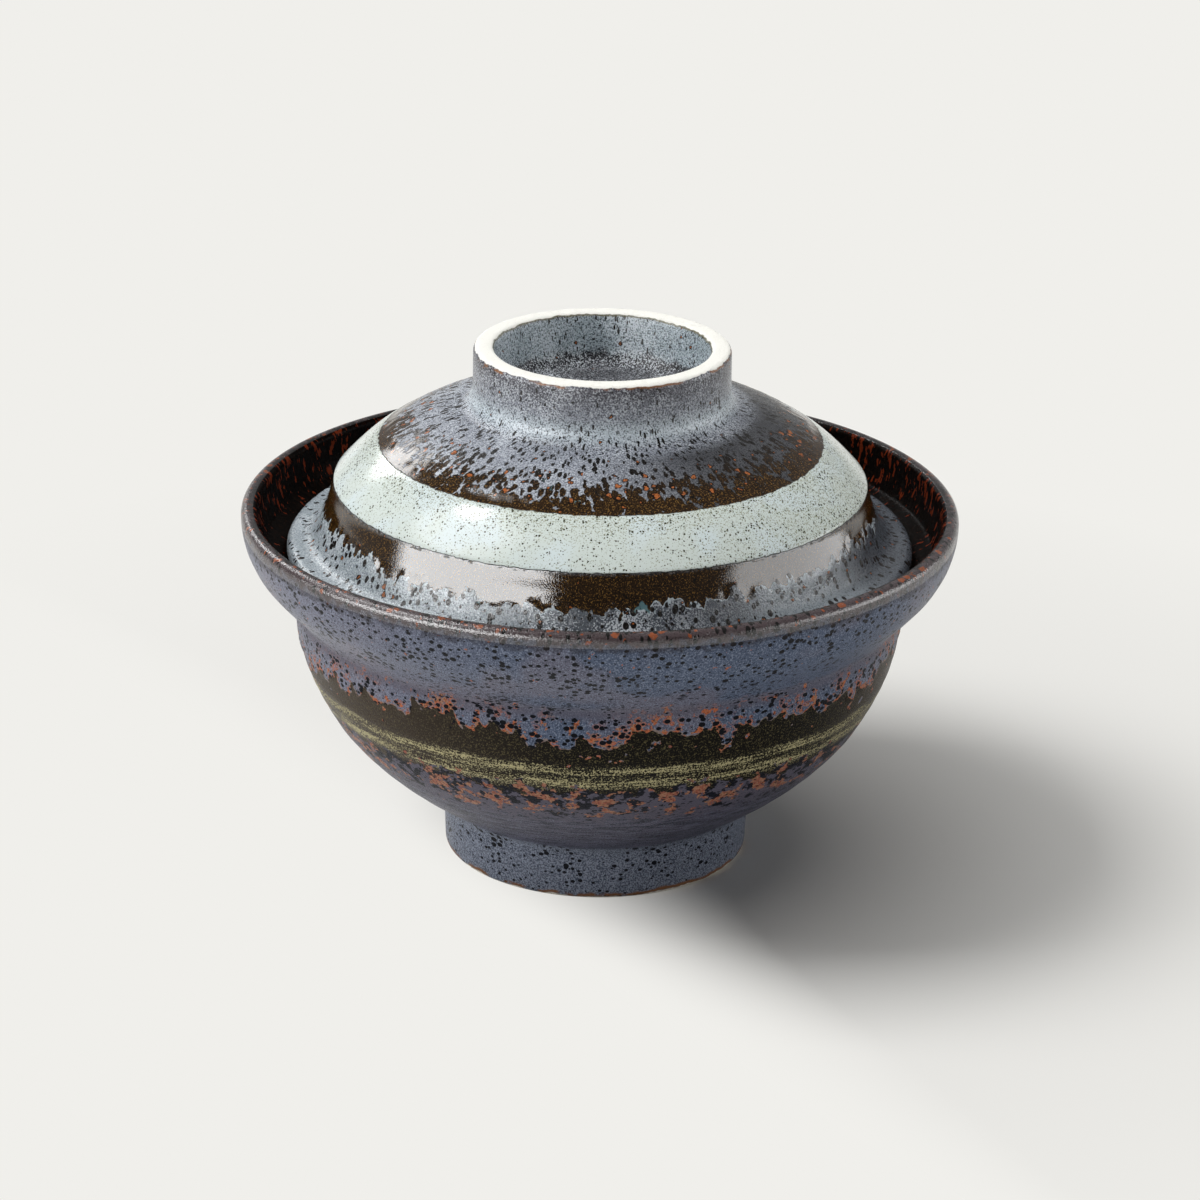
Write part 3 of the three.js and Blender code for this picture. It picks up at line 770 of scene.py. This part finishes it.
# frosted slate with a brown ring, a pale band, brown runs, frosted lobes and a bare ring on the knob:
# each zone is a share of its place along the profile, and each pit, speck or dot a share of its noise
def lidOutsideGlaze(name, gloss):
    k = SimpleNamespace(**lidLook)
    r = Recipe(name, lidLook, gloss)
    place, wheel, side, along, drip = r.bearings()
    running = r.stretch(wheel, (1, 1, k.runDraw))
    grain = r.noise(place, k.grain, 1, 0.5)
    sand = r.noise(place, k.sand, 1, 0.6)
    cloud = r.noise(place, k.cloud)
    onSkirt = r.rise(along, 1, -1)

    # slate with a painted shade to one side of the dome, lilac up the knob, pale at its neck from pooled
    # glaze and a painted highlight, and painted light and shade in its hollow
    upKnob = r.rise(along, k.neckTop, k.knobTop)
    colour = r.blend(r.times(upKnob, 0.8), "slate", "lilac")
    # pale at the neck: glaze pooled in the fillet, with a painted highlight of the lamps in it
    atNeck = r.between(along, k.domeTop + 3, k.neckTop - 1, 2.2)
    colour = r.blend(r.times(atNeck, 0.85), colour, "neckPoolAndHighlight")
    # painted shade: the dome darker towards one side, as if turned away from the lamps
    onSlope = r.rise(along, k.domeTop + 2, k.domeTop - 4)
    shaded = r.times(r.rise(side, *k.shadeReach), onSlope, 0.88)
    colour = r.blend(shaded, colour, "paintedShadeSide")
    # painted light and shade in the knob's hollow: the wall pale as if lit, the floor dark as if shaded,
    # darker still at the wall's foot
    hollowEdge = r.total(along, r.sway(place, 2.4, 0.3))
    hollow = r.blend(r.rise(hollowEdge, k.hollowFoot - 0.8, k.hollowFoot + 0.8),
                     "hollowWall", "hollowFloor")
    atFoot = r.times(r.between(hollowEdge, k.hollowFoot - 0.6, k.hollowFoot + 1.8, 1.2), 0.75)
    hollow = r.blend(atFoot, hollow, "hollowShade")
    inHollow = r.rise(along, k.ringInner, k.ringInner + 1)
    colour = r.blend(inHollow, colour, hollow)

    # salt and pepper grain, saltier in some clouds; the pale salt is partly a painted sparkle of the lamps
    # and fades where the painted shade lies
    pepper = r.rise(r.lift(cloud, 0.2, grain), -0.2, -1.6)
    salt = r.times(r.rise(r.lift(cloud, 0.6, grain), 0.3, 1.9), r.rise(shaded, 1.0, 0.2))
    colour = r.blend(r.times(pepper, r.mix(onSlope, 0.75, 0.5)), colour, "grainDark")
    saltShare = r.mix(inHollow, r.mix(onSlope, 0.5, 0.36), 0.7)
    colour = r.blend(r.times(salt, saltShare), colour, "paleGrainAndSparkle")

    # dark pits drawn out down the slope, that join towards the brown ring and are few on the knob
    towardBrown = r.rise(along, k.domeTop + 1, k.brownTop - 2)
    onDome = r.rise(along, k.neckTop - 2, k.domeTop - 3)
    crowd = r.times(towardBrown, towardBrown, 0.62)
    crowd = r.total(crowd, r.lift(onDome, 0.29, -0.17), r.sway(place, 6, 0.08))
    pitSpot = r.total(r.spots(running, *k.pits), crowd, r.sway(place, 0.9, 0.08, 1))
    pit = r.rise(pitSpot, 0, 0.06)
    colour = r.blend(pit, colour, "pit")

    # brown glaze with golden grain: a ring with a lacy upper edge, and runs down the skirt
    brownTone = r.blend(r.times(r.rise(sand, 0.4, 2.0), 0.85), "brown", "gold")
    brownTone = r.blend(r.times(r.rise(grain, -0.2, -1.6), 0.8), brownTone, "brownDark")
    lacy = r.total(along, r.sway(running, 3.6, 1.5, 2))
    brownRing = r.rise(lacy, k.brownTop + 0.12, k.brownTop - 0.12)
    throughPits = r.times(r.rise(pitSpot, 0.05, 0.2), r.rise(along, k.dotTop, k.brownTop))
    brownRing = r.larger(brownRing, throughPits)
    brownRing = r.times(r.rise(along, k.bandTop - 0.3, k.bandTop), brownRing)
    edge = r.total(drip, r.sway(place, 2.2, 0.45, 1), r.sway(place, 0.8, 0.16, 0))
    brownRun = r.times(r.rise(edge, -0.08, 0.08), onSkirt)
    isBrown = r.larger(brownRing, brownRun)
    poolSpot = r.rise(r.total(r.spots(place, *k.pools), r.sway(place, 1.0, 0.4)), 0, 0.8)
    brownTone = r.blend(r.times(poolSpot, 0.7), brownTone, "pool")

    # frosted lobes at the foot of the skirt, paler at left and right as a painted reflection, with pits
    # and a few dark notches
    # painted reflection: the frost paler at left and right, where the lamp cards would shine in it
    frostLeft = r.times(r.rise(side, *k.frostLeft), 0.75)
    paintedFrostSheen = r.lift(r.between(side, *k.frostRight, k.frostSoft), 0.5, frostLeft)
    frost = r.blend(paintedFrostSheen, "frost", "frostRimAndSheen")
    frost = r.blend(r.times(pepper, 0.45), frost, "grainDark")
    # pale salt on the frost, partly a painted sparkle
    frost = r.blend(r.times(salt, 0.7), frost, "paleGrainAndSparkle")
    frostRim = r.times(r.between(edge, -0.45, 0.0, 0.12), r.rise(cloud, -1.2, 0.2))
    frost = r.blend(r.times(frostRim, 0.8), frost, "frostRimAndSheen")
    lobePit = r.lift(r.rise(edge, -6, 0), 0.12, r.spots(running, *k.lobePits))
    frost = r.blend(r.rise(lobePit, 0, 0.07), frost, "pit")
    colour = r.blend(onSkirt, colour, frost)
    colour = r.blend(isBrown, colour, brownTone)

    # rust dots with dark edges along the brown ring, and a few on the lobes
    dotZone = r.between(along, k.bandTop + 1, k.dotTop, 2.5)
    lobeZone = r.between(edge, -7, 0.5, 1)
    dotCrowd = r.lift(dotZone, 0.5, r.lift(r.times(lobeZone, onSkirt), 0.28, -0.5))
    dot = r.total(r.spots(place, *k.dots), dotCrowd, r.sway(place, 0.9, 0.15, 1))
    colour = r.blend(r.rise(dot, -0.3, -0.15), colour, "pit")
    rustTone = r.blend(r.times(r.rise(grain, 0, -1.5), 0.7), "rust", "brown")
    colour = r.blend(r.rise(dot, 0, 0.12), colour, rustTone)

    # pale band with olive speckle, thickest along its upper edge and on one side
    dusted = r.larger(r.rise(along, 4, k.bandTop), r.rise(side, 0, k.wheelRadius))
    bandTone = r.blend(r.times(r.rise(cloud, -0.4, 1.6), 0.7), "band", "bandBlue")
    dust = r.rise(r.lift(dusted, 1.1, sand), 0.9, 2.6)
    bandTone = r.blend(r.times(dust, 0.8), bandTone, "bandOlive")
    speckSpot = r.total(r.spots(place, *k.bandSpecks), r.times(dusted, 0.04), r.sway(place, 5, 0.02))
    bandTone = r.blend(r.rise(speckSpot, 0, 0.08), bandTone, "bandSpeck")
    bandEdge = r.total(along, r.sway(place, 1.6, 0.07))
    isBand = r.between(bandEdge, 0.0, k.bandTop, 0.12)
    colour = r.blend(isBand, colour, bandTone)

    # bare ring on the knob, with toasted lines where the glaze stops
    wiped = r.total(along, r.sway(place, 3, 0.12))
    isRing = r.between(wiped, k.knobTop, k.ringInner, 0.12)
    patchy = r.rise(r.noise(place, 6), -0.6, 0.6)
    outerLine = r.times(r.between(wiped, k.knobTop - 0.5, k.knobTop, 0.2), patchy)
    innerLine = r.between(wiped, k.ringInner, k.ringInner + 0.4, 0.2)
    colour = r.blend(outerLine, colour, "toast")
    colour = r.blend(r.times(innerLine, 0.8), colour, "oliveLine")
    clay = r.blend(r.times(r.rise(sand, 0.8, 2.4), 0.15), "ring", "toast")
    colour = r.blend(isRing, colour, clay)

    # the skirt's height falls towards the ridge, which turns its shine up
    roughness = r.mix(onSkirt, r.lift(grain, 0.04, k.domeRough), k.skirtRough)
    roughness = r.mix(isBrown, roughness, k.brownRough)
    roughness = r.mix(isBand, roughness, k.bandRough)
    roughness = r.mix(isRing, roughness, k.clayRough)
    frosted = r.lift(grain, k.grainHeight, r.times(pit, -k.pitDepth))
    height = r.mix(isBrown, frosted, r.lift(sand, k.sandHeight, -k.brownDepth))
    height = r.lift(r.rise(along, *k.ridgeReach), -k.ridgeSoft, height)
    height = r.mix(isBand, height, r.lift(sand, k.sandHeight, k.bandHeight))
    return r.finish(colour, roughness, height)


# lid: its profile turned, with the dark glaze below and a coat each for skirt and dome
def throwLid(under):
    k = SimpleNamespace(**lidLook)
    rows, normals, angle, along, attributes = turnProfile(lidShape, lidLook, lidProfile(), "ridge", 1)
    relief = lidRelief(angle, along, attributes["drip"])
    coats = np.searchsorted([k.underStart, 0], along[:, 0])
    materials = [under] + [lidOutsideGlaze(name, gloss) for name, gloss in k.coats.items()]
    lid = throwPot("lid_thrown", rows, normals, relief, angle, attributes, materials, coats)
    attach(lid, "lid")
    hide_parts("lid")


# Stage: floor, lamps, world and camera

stageLook = {
    "floor": (240, 239, 235), "floorSize": 40.0, "nearRadius": 0.045, "farRadius": 0.26,
    "litWay": (0.8, 0.6, 0.0), "litStart": 0.008, "litEnd": -0.042,
    "worldBack": 0.3, "worldFront": 0.05,
}


# floor: lit and shaded beside the bowl, an even tone further out
def layFloor():
    k = SimpleNamespace(**stageLook)
    r = Recipe("pale_floor", stageLook, 0.0)
    half = k.floorSize / 2
    mesh = bpy.data.meshes.new("floor")
    corners = [(-half, -half, 0), (half, -half, 0), (half, half, 0), (-half, half, 0)]
    mesh.from_pydata(corners, [], [(0, 1, 2, 3)])
    coords = r.node("TexCoord").outputs["Object"]
    away = r.node("VectorMath", {0: coords}, operation="LENGTH").outputs["Value"]
    path = r.node("LightPath").outputs
    seen = r.larger(r.larger(path["Is Camera Ray"], path["Is Glossy Ray"]), path["Is Transmission Ray"])
    outward = {"Value": away, "From Min": k.nearRadius, "From Max": k.farRadius}
    shadeward = r.node("VectorMath", {0: coords, 1: k.litWay}, operation="DOT_PRODUCT").outputs["Value"]
    litSide = r.rise(shadeward, k.litStart, k.litEnd)
    even = r.times(seen, r.larger(r.node("MapRange", outward).outputs["Result"], litSide))
    glow = r.node("Emission", {"Color": "floor", "Strength": 1.0}).outputs[0]
    r.put(r.shader.inputs["Base Color"], "floor")
    r.shader.inputs["Roughness"].default_value = 1.0
    mixed = r.node("MixShader", {0: even, 1: r.shader.outputs[0], 2: glow}).outputs[0]
    r.tree.links.new(mixed, r.tree.nodes["Material Output"].inputs["Surface"])
    mesh.materials.append(r.material)
    floor = bpy.data.objects.new("floor", mesh)
    bpy.context.collection.objects.link(floor)
    return floor


# lamp panels round the bowl: bearing in degrees from the right-hand side towards the back, rise above
# level, distance, width and height in metres, brightness (radiance, 1 is white) and what the panel does:
# light the floor alone, light the pots, fill their shade softly or only show as a reflection
lampPanels = {
    "floorKey": (180, 54, 3.0, 1.5, 1.5, 12.5, "floor"),
    "key": (180, 54, 3.0, 1.5, 1.5, 4.5, "pots"),
    "glint": (165, 58, 3.0, 0.3, 0.3, 34.0, "shine"),
    "top": (90, 80, 2.0, 2.0, 2.0, 2.5, "fill"),
    "leftFill": (205, 15, 2.0, 1.2, 1.2, 4.2, "fill"),
    "rightFill": (335, 15, 2.0, 1.2, 1.2, 2.0, "fill"),
    "leftCard": (215, 13, 2.2, 2.9, 1.0, 9.4, "shine"),
    "rightCard": (358, 12, 2.0, 2.4, 0.9, 3.6, "shine"),
    "backStrip": (125, 28, 1.5, 0.35, 0.45, 8.0, "shine"),
}
lampAim = Vector((0, 0, 0.06))


# each panel faces the aim from its bearing and rise; its power is pi times its brightness and area
def hangLamps(floor):
    lit = {}
    for name, state in {"floor_alone": "INCLUDE", "all_but_floor": "EXCLUDE"}.items():
        lit[name] = bpy.data.collections.new(name)
        lit[name].objects.link(floor)
        lit[name].collection_objects[0].light_linking.link_state = state
    for name, (bearing, rise, distance, width, height, brightness, does) in lampPanels.items():
        light = bpy.data.lights.new(name, "AREA")
        light.shape = "RECTANGLE"
        light.size, light.size_y = width, height
        light.energy = brightness * math.pi * width * height
        turn, up = math.radians(bearing), math.radians(rise)
        way = Vector((math.cos(up) * math.cos(turn), math.cos(up) * math.sin(turn), math.sin(up)))
        lamp = bpy.data.objects.new(name, light)
        lamp.location = lampAim + way * distance
        lamp.rotation_euler = way.to_track_quat("Z", "Y").to_euler()
        lamp.light_linking.receiver_collection = lit["floor_alone" if does == "floor" else "all_but_floor"]
        lamp.visible_diffuse = does != "shine"
        lamp.visible_glossy = does != "fill"
        bpy.context.collection.objects.link(lamp)


# world: soft light, brighter behind the bowl than in front of it
def lightWorld():
    world = bpy.data.worlds.new("studio")
    bpy.context.scene.world = world
    world.use_nodes = True
    nodes, links = world.node_tree.nodes, world.node_tree.links
    way = nodes.new("ShaderNodeSeparateXYZ")
    links.new(nodes.new("ShaderNodeTexCoord").outputs["Generated"], way.inputs[0])
    depth = nodes.new("ShaderNodeMapRange")
    links.new(way.outputs["Y"], depth.inputs["Value"])
    depth.inputs["From Min"].default_value = -1
    depth.inputs["To Min"].default_value = stageLook["worldFront"]
    depth.inputs["To Max"].default_value = stageLook["worldBack"]
    links.new(depth.outputs["Result"], nodes["Background"].inputs["Strength"])
    nodes["Background"].inputs["Color"].default_value = (1, 1, 1, 1)


# camera on the part's centre line, in degrees and metres; the tilt lifts its aim above the origin
cameraPlace = {"distance": 0.95, "rise": 24.76, "tilt": 3.28, "turn": 0.02, "roll": 0.9, "lens": 122.59}


# camera at its distance and rise, turned and tilted to its forward way and rolled about it
def placeCamera():
    c = {key: math.radians(value) for key, value in cameraPlace.items()}
    spot = cameraPlace["distance"] * Vector((0, -math.cos(c["rise"]), math.sin(c["rise"])))
    aim = c["tilt"] - c["rise"]
    flat = math.cos(aim)
    forward = Vector((math.sin(c["turn"]) * flat, math.cos(c["turn"]) * flat, math.sin(aim)))
    right = forward.cross(Vector((0, 0, 1))).normalized()
    up = right.cross(forward)
    rolledRight = math.cos(c["roll"]) * right + math.sin(c["roll"]) * up
    rolledUp = math.cos(c["roll"]) * up - math.sin(c["roll"]) * right
    camera = bpy.data.objects.new("camera", bpy.data.cameras.new("camera"))
    camera.data.lens = cameraPlace["lens"]
    axes = Matrix((rolledRight, rolledUp, -forward)).transposed().to_4x4()
    camera.matrix_world = Matrix.Translation(spot) @ axes
    bpy.context.collection.objects.link(camera)
    bpy.context.scene.camera = camera


insideCoat = insideGlaze()
throwBowl(insideCoat)
throwLid(insideCoat)
print("pots thrown and glazed")
hangLamps(layFloor())
lightWorld()
placeCamera()
bpy.context.scene.view_settings.view_transform = "Standard"
print("stage set")
